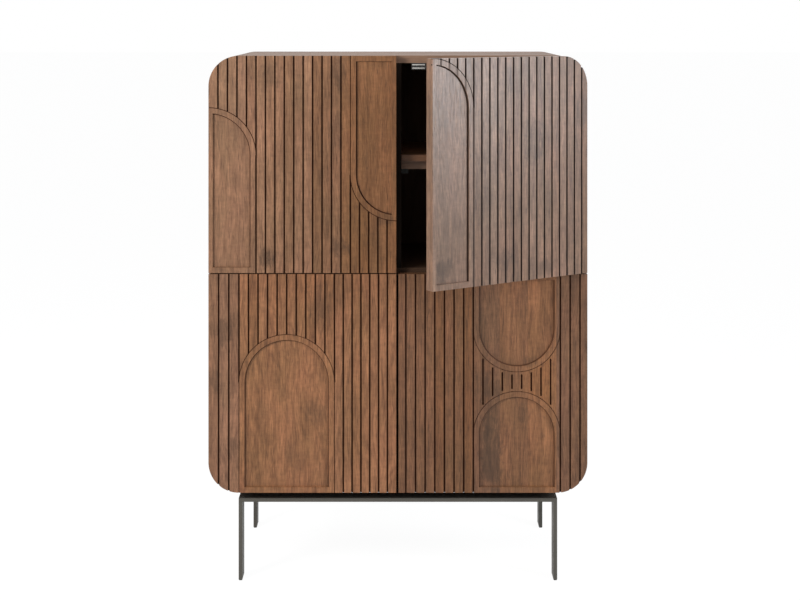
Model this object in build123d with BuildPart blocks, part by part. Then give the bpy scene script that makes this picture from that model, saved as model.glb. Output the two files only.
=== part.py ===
from build123d import *
from math import cos, radians, sin
import os

os.makedirs("parts", exist_ok=True)

# ---- overall size ------------------------------------------------------------
cabinet_w = 1000.0
body_h = 1153.0
leg_frame_h = 239.0
cabinet_d = 490.0
corner_r = 80.0

# ---- boards ------------------------------------------------------------------
board_t = 20.0
divider_t = 18.0
back_t = 8.0
back_clearance = 0.3
inner_setback = 2.0
shelf_t = 17.0

# ---- doors -------------------------------------------------------------------
door_t = 27.0
row_gap = 3.0
row_rise = 1.7
left_stile_gap = 4.5
right_stile_gap = 1.5
door_standoff = 2.5
open_angle = 33.7

# ---- carving -----------------------------------------------------------------
groove_w = 4.4
groove_d = 5.0
line_w = 2.2
line_d = 1.6
rim_w = 14.5
edge_rim_w = 11.0
field_d = 6.0
field_draft = 12.0
blind_end = 7.0
cut_over = 5.0
half_arch_r = 125.5
half_arch_leg = 310.8
hanging_arch_r = 121.0
hanging_arch_leg = 314.5
tall_arch_w = 252.0
tall_arch_leg = 291.5
tall_arch_from_edge = 80.5
small_arch_w = 229.5
small_arch_leg_low = 152.5
small_arch_apart = 51.5
small_arch_from_edge = 71.5
slat_pitch = 25.0
end_slat_w = 19.5

# ---- shelves and rails -------------------------------------------------------
upper_shelf_rise = 282.3
lower_shelf_rise = 268.0
shelf_setback = 15.5
rail_h = 24.0
rail_t = 18.0
rail_setback = 50.0
block_h = 12.0
block_w = 19.0
block_d = 30.0
rear_block_inset = 40.0

# ---- concealed hinges --------------------------------------------------------
hinge_inset = 110.0
cup_d = 35.0
cup_wall = 1.5
cup_depth = 12.5
cup_floor = 0.7
cup_edge = 22.5
flange_h = 56.0
flange_w = 12.0
flange_t = 1.0
flange_r = 5.0
flange_shift = 6.0
ear_t = 2.0
ear_reach = 2.6
pin_d = 3.0
pin_clearance = 0.05
side_clearance = 0.3
link_t = 2.0
link_h = 9.0
knuckle_d = 5.4
link_ratio = 0.743
arm_pin_in = 11.33
arm_pin_back = 14.17
cup_pin_in = 10.91
cup_pin_back = 23.07
neck_front_in = 14.26
neck_front_back = 17.56
neck_rear_in = 29.68
neck_rear_back = 20.76
cheek_t = 1.5
cheek_nose = 4.0
arm_len = 66.0
arm_web_gap = 6.0
arm_web_t = 2.0
arm_hold = 5.3
plate_t = 3.0
plate_len = 46.0
plate_back = 32.0
plate_wing = 48.0
plate_wing_len = 18.0

# ---- magnetic catches --------------------------------------------------------
catch_offset = 36.0
catch_w = 38.0
catch_h = 18.0
catch_d = 17.0
pole_w = 34.0
pole_t = 3.0
pole_d = 15.0
pole_apart = 9.0
strike_t = 1.2
strike_w = 36.0
strike_h = 14.0
strike_gap = 0.3

# ---- leg frame ---------------------------------------------------------------
bar_t = 10.0
bar_w = 50.0
frame_d = 464.0
frame_setback = 21.0
frame_air = 21.0
standoff_d = 30.0
standoff_edge = 7.5
standoff_inset = 100.0
bolt_d = 8.0
bolt_head_d = 13.0
bolt_head_t = 4.0
bolt_bite = 14.0
glide_t = 2.0
glide_margin = 1.0

# ---- levels and planes derived from the sizes --------------------------------
half_w = cabinet_w / 2
inner_r = corner_r - board_t
body_bottom = leg_frame_h
body_top = leg_frame_h + body_h
body_mid = leg_frame_h + body_h / 2
mid_level = body_mid + row_rise
inner_half_w = half_w - board_t
inner_bottom = body_bottom + board_t
inner_top = body_top - board_t
mid_bottom = mid_level - board_t / 2
mid_top = mid_level + board_t / 2
half_divider = divider_t / 2
link_turn = link_ratio * open_angle


def turned(x, y, degrees_ccw):
    """Vector (x, y) turned about +Z."""
    c = cos(radians(degrees_ccw))
    s = sin(radians(degrees_ccw))
    return x * c - y * s, x * s + y * c


# hinge pins of a right-hand door, measured from the door's outer edge and front
arm_pin_x = inner_half_w - arm_pin_in
arm_pin_y = door_t + door_standoff + arm_pin_back
cup_pin_x = half_w - cup_pin_in
cup_pin_y = cup_pin_back
pin_shift = turned(cup_pin_x - arm_pin_x, cup_pin_y - arm_pin_y, -link_turn)
stile_shift = turned(right_stile_gap - cup_pin_x, -cup_pin_y, open_angle)
door_reach = -(arm_pin_y + pin_shift[1] + stile_shift[1])

# the row's origin lies under the middle of the part as it stands, door ajar
front_y = -(cabinet_d - door_reach) / 2
carcass_front = front_y + door_t + door_standoff
carcass_rear = front_y + cabinet_d
back_front = carcass_rear - back_t


def save(part, node):
    """Label a finished piece and write its STEP file."""
    part.label = node
    export_step(part, f"parts/{node}.step")


# ==== carcass boards ==========================================================
flat_half = half_w - corner_r
board_len = carcass_rear - carcass_front
board_mid_y = (carcass_front + carcass_rear) / 2

with BuildPart() as top_panel:
    with Locations((0, board_mid_y, inner_top)):
        Box(2 * flat_half, board_len, board_t, align=(Align.CENTER, Align.CENTER, Align.MIN))
save(top_panel.part, "top_panel")

standoff_x = flat_half - standoff_edge - standoff_d / 2
frame_half = standoff_x + bar_w / 2
frame_front = front_y + frame_setback
frame_rear = frame_front + frame_d
standoff_spots = [
    (sx * standoff_x, y)
    for sx in (-1, 1)
    for y in (frame_front + standoff_inset, frame_rear - standoff_inset)
]

with BuildPart() as bottom_panel:
    with Locations((0, board_mid_y, body_bottom)):
        Box(2 * flat_half, board_len, board_t, align=(Align.CENTER, Align.CENTER, Align.MIN))
    with BuildSketch(Plane.XY.offset(body_bottom)):
        with Locations(*standoff_spots):
            Circle(bolt_d / 2)
    extrude(amount=bolt_bite, mode=Mode.SUBTRACT)
save(bottom_panel.part, "bottom_panel")

plate_mid_y = carcass_front + plate_back + plate_len / 2
hinge_levels = {
    "upper": (mid_level + row_gap / 2 + hinge_inset, body_top - hinge_inset),
    "lower": (body_bottom + hinge_inset, mid_level - row_gap / 2 - hinge_inset),
}
all_levels = hinge_levels["lower"] + hinge_levels["upper"]

for side, sx in (("left", -1), ("right", 1)):
    with BuildPart() as side_panel:
        with Locations((sx * (half_w - board_t / 2), board_mid_y, body_mid)):
            Box(board_t, board_len, body_h - 2 * corner_r)
    save(side_panel.part, f"side_panel_{side}")

for level, sz in (("top", 1), ("bottom", -1)):
    for side, sx in (("left", -1), ("right", 1)):
        centre = (sx * flat_half, body_mid + sz * (body_h / 2 - corner_r))
        with BuildPart() as corner:
            ring_plane = Plane(origin=(0, carcass_front, 0), x_dir=(1, 0, 0), z_dir=(0, -1, 0))
            with BuildSketch(ring_plane):
                with Locations(centre):
                    Circle(corner_r)
                    Circle(inner_r, mode=Mode.SUBTRACT)
                    with Locations((sx * corner_r, sz * corner_r)):
                        Rectangle(2 * corner_r, 2 * corner_r, mode=Mode.INTERSECT)
            extrude(amount=-board_len)
        save(corner.part, f"corner_{level}_{side}")

inner_depth = back_front - carcass_front - inner_setback
inner_mid_y = back_front - inner_depth / 2

with BuildPart() as middle_panel:
    with Locations((0, inner_mid_y, mid_level)):
        Box(2 * inner_half_w, inner_depth, board_t)
save(middle_panel.part, "middle_panel")

for half, base, tip in (("lower", inner_bottom, mid_bottom), ("upper", mid_top, inner_top)):
    with BuildPart() as divider:
        with Locations((0, inner_mid_y, (base + tip) / 2)):
            Box(divider_t, inner_depth, tip - base)
    save(divider.part, f"divider_{half}")

with BuildPart() as back_panel:
    with BuildSketch(Plane(origin=(0, back_front, body_mid), x_dir=(1, 0, 0), z_dir=(0, -1, 0))):
        RectangleRounded(
            2 * (inner_half_w - back_clearance),
            inner_top - inner_bottom - 2 * back_clearance,
            inner_r - back_clearance,
        )
    extrude(amount=-back_t)
save(back_panel.part, "back_panel")

# ==== shelves, rails and support blocks =======================================
shelf_front = carcass_front + shelf_setback
rail_front = carcass_front + rail_setback
shelf_w = inner_half_w - half_divider
shelf_mid_x = (inner_half_w + half_divider) / 2
shelf_levels = {"upper": mid_top + upper_shelf_rise, "lower": inner_bottom + lower_shelf_rise}

for half, level in shelf_levels.items():
    for side, sx in (("left", -1), ("right", 1)):
        with BuildPart() as shelf:
            with Locations((sx * shelf_mid_x, (shelf_front + back_front) / 2, level)):
                Box(
                    shelf_w,
                    back_front - shelf_front,
                    shelf_t,
                    align=(Align.CENTER, Align.CENTER, Align.MIN),
                )
        save(shelf.part, f"shelf_{half}_{side}")
        with BuildPart() as rail:
            with Locations((sx * shelf_mid_x, rail_front + rail_t / 2, level)):
                Box(shelf_w, rail_t, rail_h, align=(Align.CENTER, Align.CENTER, Align.MAX))
        save(rail.part, f"shelf_rail_{half}_{side}")

with BuildPart() as shelf_supports:
    for level in shelf_levels.values():
        for sx in (-1, 1):
            for x in (half_divider + block_w / 2, inner_half_w - block_w / 2):
                with Locations(
                    (sx * x, rail_front + block_d / 2, level - rail_h),
                    (sx * x, back_front - rear_block_inset - block_d / 2, level),
                ):
                    Box(block_w, block_d, block_h, align=(Align.CENTER, Align.CENTER, Align.MAX))
save(shelf_supports.part, "shelf_supports")

# ==== magnetic catches ========================================================
catch_mid_x = catch_offset + catch_w / 2
catch_faces = {"upper": inner_top, "lower": mid_bottom}
catch_front = carcass_front - door_standoff + strike_t + strike_gap

with BuildPart() as catch_pole_plates:
    with Locations(
        *[
            (sx * catch_mid_x, catch_front, z - catch_h / 2 + dz)
            for sx in (-1, 1)
            for z in catch_faces.values()
            for dz in (-pole_apart / 2, pole_apart / 2)
        ]
    ):
        Box(pole_w, pole_d, pole_t, align=(Align.CENTER, Align.MIN, Align.CENTER))
save(catch_pole_plates.part, "catch_pole_plates")

with BuildPart() as magnetic_catch_housings:
    with Locations(*[(sx * catch_mid_x, carcass_front, z) for sx in (-1, 1) for z in catch_faces.values()]):
        Box(catch_w, catch_d, catch_h, align=(Align.CENTER, Align.MIN, Align.MAX))
    with Locations(
        *[
            (sx * catch_mid_x, catch_front, z - catch_h / 2 + dz)
            for sx in (-1, 1)
            for z in catch_faces.values()
            for dz in (-pole_apart / 2, pole_apart / 2)
        ]
    ):
        Box(
            pole_w,
            pole_d,
            pole_t,
            align=(Align.CENTER, Align.MIN, Align.CENTER),
            mode=Mode.SUBTRACT,
        )
save(magnetic_catch_housings.part, "magnetic_catch_housings")

# ==== hinge pieces fixed to the side boards ===================================
arm_pin_world_y = front_y + arm_pin_y
cheek_gap = link_h / 2 + side_clearance
arm_inner_x = inner_half_w - plate_t
arm_outer_x = arm_pin_x - arm_hold
web_front_y = arm_pin_world_y + arm_web_gap

with BuildPart() as hinge_arms:
    for z in all_levels:
        for sx in (-1, 1):
            for low in (z + cheek_gap, z - cheek_gap - cheek_t):
                with BuildSketch(Plane.XY.offset(low)):
                    with Locations((sx * arm_pin_x, arm_pin_world_y)):
                        Circle(cheek_nose)
                        Rectangle(2 * cheek_nose, arm_web_gap, align=(Align.CENTER, Align.MIN))
                    with Locations((sx * (arm_inner_x + arm_outer_x) / 2, web_front_y)):
                        Rectangle(
                            arm_inner_x - arm_outer_x,
                            arm_len - arm_web_gap,
                            align=(Align.CENTER, Align.MIN),
                        )
                    with Locations((sx * arm_pin_x, arm_pin_world_y)):
                        Circle(pin_d / 2, mode=Mode.SUBTRACT)
                extrude(amount=cheek_t)
            with Locations((sx * (arm_outer_x + arm_web_t / 2), web_front_y, z)):
                Box(
                    arm_web_t,
                    arm_len - arm_web_gap,
                    2 * cheek_gap,
                    align=(Align.CENTER, Align.MIN, Align.CENTER),
                )
save(hinge_arms.part, "hinge_arms")

with BuildPart() as hinge_arm_pins:
    for z in all_levels:
        with BuildSketch(Plane.XY.offset(z - cheek_gap - cheek_t)):
            with Locations((-arm_pin_x, arm_pin_world_y), (arm_pin_x, arm_pin_world_y)):
                Circle(pin_d / 2)
        extrude(amount=2 * (cheek_gap + cheek_t))
save(hinge_arm_pins.part, "hinge_arm_pins")

with BuildPart() as hinge_mounting_plates:
    for sx in (-1, 1):
        wall = Plane(origin=(sx * inner_half_w, plate_mid_y, 0), x_dir=(0, 1, 0), z_dir=(-sx, 0, 0))
        up = wall.y_dir.Z
        with BuildSketch(wall):
            with Locations(*[(0, up * z) for z in all_levels]):
                Rectangle(plate_len, 2 * (cheek_gap + cheek_t))
                Rectangle(plate_wing_len, plate_wing)
        extrude(amount=plate_t)
save(hinge_mounting_plates.part, "hinge_mounting_plates")


# ==== doors ===================================================================
def door_plane(swing):
    """Outer face of a right-hand door: local x is width, y height, z outward."""
    bx, by = turned(cup_pin_x - arm_pin_x, cup_pin_y - arm_pin_y, -link_ratio * swing)
    ox, oy = turned(-cup_pin_x, -cup_pin_y, swing)
    return Plane(
        origin=(arm_pin_x + bx + ox, front_y + arm_pin_y + by + oy, 0),
        x_dir=(*turned(1, 0, swing), 0),
        z_dir=(*turned(0, -1, swing), 0),
    )


def zone_grooves(edges):
    """Groove centres that cut each zone between two edges into equal slats."""
    centres = []
    for start, stop in zip(edges, edges[1:]):
        count = round((stop - start) / slat_pitch)
        centres += [start + (stop - start) * k / count for k in range(count)]
    return centres[1:]


def groove_span(x, base, top, arches, blind):
    """Lowest and highest point of the slat groove at x."""
    low = base - cut_over
    high = top + cut_over
    for cx, r, spring, hangs in arches:
        off = abs(x - cx)
        if off > r + (-line_w if blind else line_w):
            continue
        rise = (r**2 - off**2) ** 0.5 + blind_end if blind else 0
        if hangs:
            high = spring - rise
        else:
            low = spring + rise
    return low, high


left_edge = -half_w
left_stile = -left_stile_gap
right_stile = right_stile_gap
right_edge = half_w
lower_base = body_bottom
lower_top = mid_level - row_gap / 2
upper_base = mid_level + row_gap / 2
upper_top = body_top
tall_arch_x = left_edge + tall_arch_from_edge + tall_arch_w / 2
small_arch_x = right_edge - small_arch_from_edge - small_arch_w / 2
small_arch_low = lower_base + small_arch_leg_low
small_arch_high = small_arch_low + small_arch_w + small_arch_apart

# each arch: centre, radius, level where its legs meet the curve, hangs from above;
# a leg groove goes on below an arch's spring, beside its leg
doors = {
    "upper_left": {
        "side": -1,
        "swing": 0,
        "edges": [left_edge, left_edge + half_arch_r, left_stile - hanging_arch_r, left_stile],
        "arches": [
            (left_edge, half_arch_r, upper_base + half_arch_leg, False),
            (left_stile, hanging_arch_r, upper_top - hanging_arch_leg, True),
        ],
        "leg_grooves": [(left_edge + half_arch_r, upper_base + half_arch_leg)],
        "blind": False,
    },
    "upper_right": {
        "side": 1,
        "swing": open_angle,
        "edges": [right_stile, right_stile + half_arch_r, right_edge - end_slat_w, right_edge],
        "arches": [(right_stile, half_arch_r, upper_top - half_arch_r, False)],
        "leg_grooves": [],
        "blind": False,
    },
    "lower_left": {
        "side": -1,
        "swing": 0,
        "edges": [
            left_edge,
            left_edge + tall_arch_from_edge,
            left_edge + tall_arch_from_edge + tall_arch_w,
            left_stile,
        ],
        "arches": [(tall_arch_x, tall_arch_w / 2, lower_base + tall_arch_leg, False)],
        "leg_grooves": [],
        "blind": False,
    },
    "lower_right": {
        "side": 1,
        "swing": 0,
        "edges": [
            right_stile,
            right_stile + end_slat_w,
            right_edge - small_arch_from_edge - small_arch_w,
            right_edge - small_arch_from_edge,
            right_edge - end_slat_w,
            right_edge,
        ],
        "arches": [
            (small_arch_x, small_arch_w / 2, small_arch_low, False),
            (small_arch_x, small_arch_w / 2, small_arch_high, True),
        ],
        "leg_grooves": [],
        "blind": True,
    },
}

cup_x = half_w - cup_edge
pocket_r = cup_d / 2 - cup_wall
ear_low = cup_depth - cup_floor
ear_len = ear_low - (door_t - cup_pin_y) + ear_reach
pin_len = 2 * (cheek_gap + ear_t)
strike_levels = {half: z - catch_h / 2 for half, z in catch_faces.items()}

for name, door in doors.items():
    half = name.split("_")[0]
    sx = door["side"]
    base, top = (upper_base, upper_top) if half == "upper" else (lower_base, lower_top)
    stile = right_stile if sx > 0 else left_stile
    door_w = half_w - abs(stile)
    door_mid = (sx * half_w / 2 + stile / 2, (base + top) / 2)
    face = door_plane(door["swing"])
    rear = face.offset(-door_t)
    cup_spots = [(sx * cup_x, z) for z in hinge_levels[half]]
    flange_spots = [(sx * (cup_x - flange_shift), z) for z in hinge_levels[half]]

    with BuildPart() as carved_door:
        with BuildSketch(face):
            with Locations((0, body_mid)):
                RectangleRounded(cabinet_w, body_h, corner_r)
            with Locations(door_mid):
                Rectangle(door_w, top - base, mode=Mode.INTERSECT)
        extrude(amount=-door_t)
        # slat grooves that stop on the arches
        with BuildSketch(face):
            for x in zone_grooves(door["edges"]):
                low, high = groove_span(x, base, top, door["arches"], door["blind"])
                with Locations((x, (low + high) / 2)):
                    if door["blind"]:
                        SlotOverall(high - low, groove_w, rotation=90)
                    else:
                        Rectangle(groove_w, high - low)
            if not door["blind"]:
                for cx, r, spring, hangs in door["arches"]:
                    with Locations((cx, spring)):
                        Circle(r, mode=Mode.SUBTRACT)
            for x, spring in door["leg_grooves"]:
                with Locations((x, spring)):
                    Rectangle(groove_w, spring - base + cut_over, align=(Align.CENTER, Align.MAX))
        extrude(amount=-groove_d, mode=Mode.SUBTRACT)
        for cx, r, spring, hangs in door["arches"]:
            foot = top - spring if hangs else spring - base
            foot_align = (Align.CENTER, Align.MIN if hangs else Align.MAX)
            # fine line round the arch
            with BuildSketch(face):
                with Locations((cx, spring)):
                    Circle(r + line_w / 2)
                    Rectangle(2 * r + line_w, foot + cut_over, align=foot_align)
                    Circle(r - line_w / 2, mode=Mode.SUBTRACT)
                    Rectangle(2 * r - line_w, foot + cut_over, align=foot_align, mode=Mode.SUBTRACT)
            extrude(amount=-line_d, mode=Mode.SUBTRACT)
            # sunk field inside the flush rim
            with BuildSketch(face):
                with Locations((cx, spring)):
                    Circle(r - rim_w)
                    Rectangle(2 * (r - rim_w), foot, align=foot_align)
                with Locations(door_mid):
                    Rectangle(door_w - 2 * edge_rim_w, top - base - 2 * rim_w, mode=Mode.INTERSECT)
            extrude(amount=-field_d, taper=field_draft, mode=Mode.SUBTRACT)
        # cup and flange recesses in the rear face
        with BuildSketch(rear):
            with Locations(*cup_spots):
                Circle(cup_d / 2)
        extrude(amount=cup_depth, mode=Mode.SUBTRACT)
        with BuildSketch(rear):
            with Locations(*flange_spots):
                RectangleRounded(flange_w, flange_h, flange_r)
        extrude(amount=flange_t, mode=Mode.SUBTRACT)
    save(carved_door.part, f"door_{name}")

    with BuildPart() as hinge_cups:
        with BuildSketch(rear):
            with Locations(*cup_spots):
                Circle(cup_d / 2)
        extrude(amount=cup_depth)
        with BuildSketch(rear):
            with Locations(*flange_spots):
                RectangleRounded(flange_w, flange_h, flange_r)
        extrude(amount=flange_t)
        with BuildSketch(rear):
            with Locations(*cup_spots):
                Circle(pocket_r)
        extrude(amount=cup_depth - cup_floor, mode=Mode.SUBTRACT)
        with BuildSketch(rear.offset(ear_low - ear_len)):
            for x, z in cup_spots:
                ear_inner = cup_pin_x - ear_reach
                ear_outer = cup_x + pocket_r
                for dz in (-cheek_gap - ear_t / 2, cheek_gap + ear_t / 2):
                    with Locations((sx * (ear_inner + ear_outer) / 2, z + dz)):
                        Rectangle(ear_outer - ear_inner, ear_t)
        extrude(amount=ear_len)
        for z in hinge_levels[half]:
            ear_plane = Plane(
                origin=face.from_local_coords(Vector(sx * cup_pin_x, z - pin_len / 2, -cup_pin_y)),
                z_dir=(0, 0, 1),
            )
            with BuildSketch(ear_plane):
                Circle(pin_d / 2)
            extrude(amount=pin_len, mode=Mode.SUBTRACT)
    save(hinge_cups.part, f"hinge_cups_{name}")

    with BuildPart() as cup_pins:
        for z in hinge_levels[half]:
            pin_plane = Plane(
                origin=face.from_local_coords(Vector(sx * cup_pin_x, z - pin_len / 2, -cup_pin_y)),
                z_dir=(0, 0, 1),
            )
            with BuildSketch(pin_plane):
                Circle(pin_d / 2)
            extrude(amount=pin_len)
    save(cup_pins.part, f"cup_pins_{name}")

    # goose-neck link between the arm pin and the cup pin
    link_path = [
        (0, 0),
        (half_w - neck_rear_in - arm_pin_x, neck_rear_back - arm_pin_y),
        (half_w - neck_front_in - arm_pin_x, neck_front_back - arm_pin_y),
        (cup_pin_x - arm_pin_x, cup_pin_y - arm_pin_y),
    ]
    link_path = [(sx * x, y) for x, y in link_path]
    link_angle = -sx * link_ratio * door["swing"]
    with BuildPart() as hinge_links:
        for z in hinge_levels[half]:
            link_plane = Plane(
                origin=(sx * arm_pin_x, arm_pin_world_y, z - link_h / 2),
                x_dir=(*turned(1, 0, link_angle), 0),
                z_dir=(0, 0, 1),
            )
            with BuildSketch(link_plane):
                for (ax, ay), (bx, by) in zip(link_path, link_path[1:]):
                    SlotCenterPoint(((ax + bx) / 2, (ay + by) / 2), (bx, by), link_t)
                with Locations(link_path[0], link_path[-1]):
                    Circle(knuckle_d / 2)
                with Locations(link_path[0], link_path[-1]):
                    Circle(pin_d / 2 + pin_clearance, mode=Mode.SUBTRACT)
            extrude(amount=link_h)
    save(hinge_links.part, f"hinge_links_{name}")

    with BuildPart() as strike_plate:
        with BuildSketch(rear):
            with Locations((sx * catch_mid_x, strike_levels[half])):
                RectangleRounded(strike_w, strike_h, strike_t)
        extrude(amount=-strike_t)
    save(strike_plate.part, f"strike_plate_{name}")

# ==== leg frame ===============================================================
rail_top = body_bottom - frame_air
rail_bottom = rail_top - bar_t

for end, y in (("front", frame_front + bar_w / 2), ("rear", frame_rear - bar_w / 2)):
    with BuildPart() as frame_rail:
        with Locations((0, y, rail_bottom)):
            Box(2 * frame_half, bar_w, bar_t, align=(Align.CENTER, Align.CENTER, Align.MIN))
    save(frame_rail.part, f"frame_rail_{end}")

rail_mid_y = (frame_front + frame_rear) / 2
rail_len = frame_d - 2 * bar_w

with BuildPart() as frame_rail_middle:
    with Locations((0, rail_mid_y, rail_bottom)):
        Box(bar_w, rail_len, bar_t, align=(Align.CENTER, Align.CENTER, Align.MIN))
save(frame_rail_middle.part, "frame_rail_middle")

for side, sx in (("left", -1), ("right", 1)):
    with BuildPart() as side_rail:
        with Locations((sx * standoff_x, rail_mid_y, rail_bottom)):
            Box(bar_w, rail_len, bar_t, align=(Align.CENTER, Align.CENTER, Align.MIN))
        with BuildSketch(Plane.XY.offset(rail_bottom)):
            with Locations(*standoff_spots):
                Circle(bolt_d / 2)
        extrude(amount=bar_t, mode=Mode.SUBTRACT)
    save(side_rail.part, f"frame_rail_{side}")
    for end, y in (("front", frame_front + bar_w / 2), ("rear", frame_rear - bar_w / 2)):
        with BuildPart() as leg:
            with Locations((sx * (frame_half - bar_t / 2), y, glide_t)):
                Box(
                    bar_t,
                    bar_w,
                    rail_bottom - glide_t,
                    align=(Align.CENTER, Align.CENTER, Align.MIN),
                )
        save(leg.part, f"leg_{end}_{side}")

with BuildPart() as leg_glides:
    with Locations(
        *[
            (sx * (frame_half - bar_t / 2), y, 0)
            for sx in (-1, 1)
            for y in (frame_front + bar_w / 2, frame_rear - bar_w / 2)
        ]
    ):
        Box(
            bar_t - 2 * glide_margin,
            bar_w - 2 * glide_margin,
            glide_t,
            align=(Align.CENTER, Align.CENTER, Align.MIN),
        )
save(leg_glides.part, "leg_glides")

with BuildPart() as frame_standoffs:
    with BuildSketch(Plane.XY.offset(rail_top)):
        with Locations(*standoff_spots):
            Circle(standoff_d / 2)
            Circle(bolt_d / 2, mode=Mode.SUBTRACT)
    extrude(amount=frame_air)
save(frame_standoffs.part, "frame_standoffs")

with BuildPart() as frame_bolts:
    with BuildSketch(Plane.XY.offset(rail_bottom - bolt_head_t)):
        with Locations(*standoff_spots):
            RegularPolygon(bolt_head_d / 2, 6)
    extrude(amount=bolt_head_t)
    with BuildSketch(Plane.XY.offset(rail_bottom)):
        with Locations(*standoff_spots):
            Circle(bolt_d / 2)
    extrude(amount=bar_t + frame_air + bolt_bite)
save(frame_bolts.part, "frame_bolts")
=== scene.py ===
"""Slatted cabinet with carved arches on a steel leg frame: finishes, small parts and studio.

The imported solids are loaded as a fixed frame. This script gives them their finishes,
rounds their edges, adds the small fasteners and welds that the solids leave out, and
sets up the studio and the camera. Lengths are in metres, +Z is up and -Y is the front.
"""

import logging
import math
from collections.abc import Callable
from dataclasses import dataclass
from enum import Enum
from functools import reduce

import bmesh
import bpy
from mathutils import Matrix, Vector


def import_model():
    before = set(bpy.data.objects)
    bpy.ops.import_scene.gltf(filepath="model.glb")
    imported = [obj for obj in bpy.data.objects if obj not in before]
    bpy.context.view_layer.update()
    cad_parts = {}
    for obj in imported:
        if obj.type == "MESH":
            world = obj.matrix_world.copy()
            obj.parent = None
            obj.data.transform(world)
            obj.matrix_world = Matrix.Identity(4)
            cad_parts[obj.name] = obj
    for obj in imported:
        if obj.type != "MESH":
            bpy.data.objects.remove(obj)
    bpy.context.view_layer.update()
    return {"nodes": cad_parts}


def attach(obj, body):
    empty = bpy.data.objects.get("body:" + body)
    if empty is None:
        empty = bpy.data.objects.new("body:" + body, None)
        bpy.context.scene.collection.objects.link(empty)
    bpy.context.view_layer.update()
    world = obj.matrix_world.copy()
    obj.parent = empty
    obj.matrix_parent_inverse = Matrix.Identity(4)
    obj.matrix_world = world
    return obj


log = logging.getLogger("cabinet")

Triple = tuple[float, float, float]
Colour = Triple
Socket = bpy.types.NodeSocket
Value = Socket | float
Nodes = dict[str, bpy.types.Object]

MM = 0.001
OUTWARD_BACK = Vector((0, 1, 0))
OUTWARD_DOWN = Vector((0, 0, -1))
MOST_OF_A_NOISE = (0.3, 0.7)
FACET_GAP = 0.01 * MM
SMALL_ROUNDING = 0.15 * MM
SHARP_ANGLE = math.radians(28)
FLAT_FACE_WEIGHT = 90
GRAIN_DEPTH = 0.4 * MM


class Slot(Enum):
    """Names of two material slots of the record; nothing in this script uses them."""

    NICKEL = "nickel"
    STEEL = "painted_steel"


class Run(Enum):
    """Axis that the grain of a board runs along."""

    ACROSS = 0
    BACK = 1
    UPRIGHT = 2


class Side(Enum):
    """Side of the cabinet, as the sign of X."""

    LEFT = -1
    RIGHT = 1


def srgb(red: float, green: float, blue: float) -> Colour:
    """Turn a display colour into the linear values the shaders take.

    Args:
        red: Red from 0 to 255.
        green: Green from 0 to 255.
        blue: Blue from 0 to 255.

    Returns:
        The linear red, green and blue.
    """

    def one(value: float) -> float:
        """Turn one channel into its linear value."""
        part = value / 255
        return part / 12.92 if part <= 0.04045 else ((part + 0.055) / 1.055) ** 2.4

    return one(red), one(green), one(blue)


def dimmed(colour: Colour, share: float) -> Colour:
    """Darken a colour to a share of its strength."""
    return tuple(share * part for part in colour)


# ---- shader graph --------------------------------------------------------------


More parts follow.
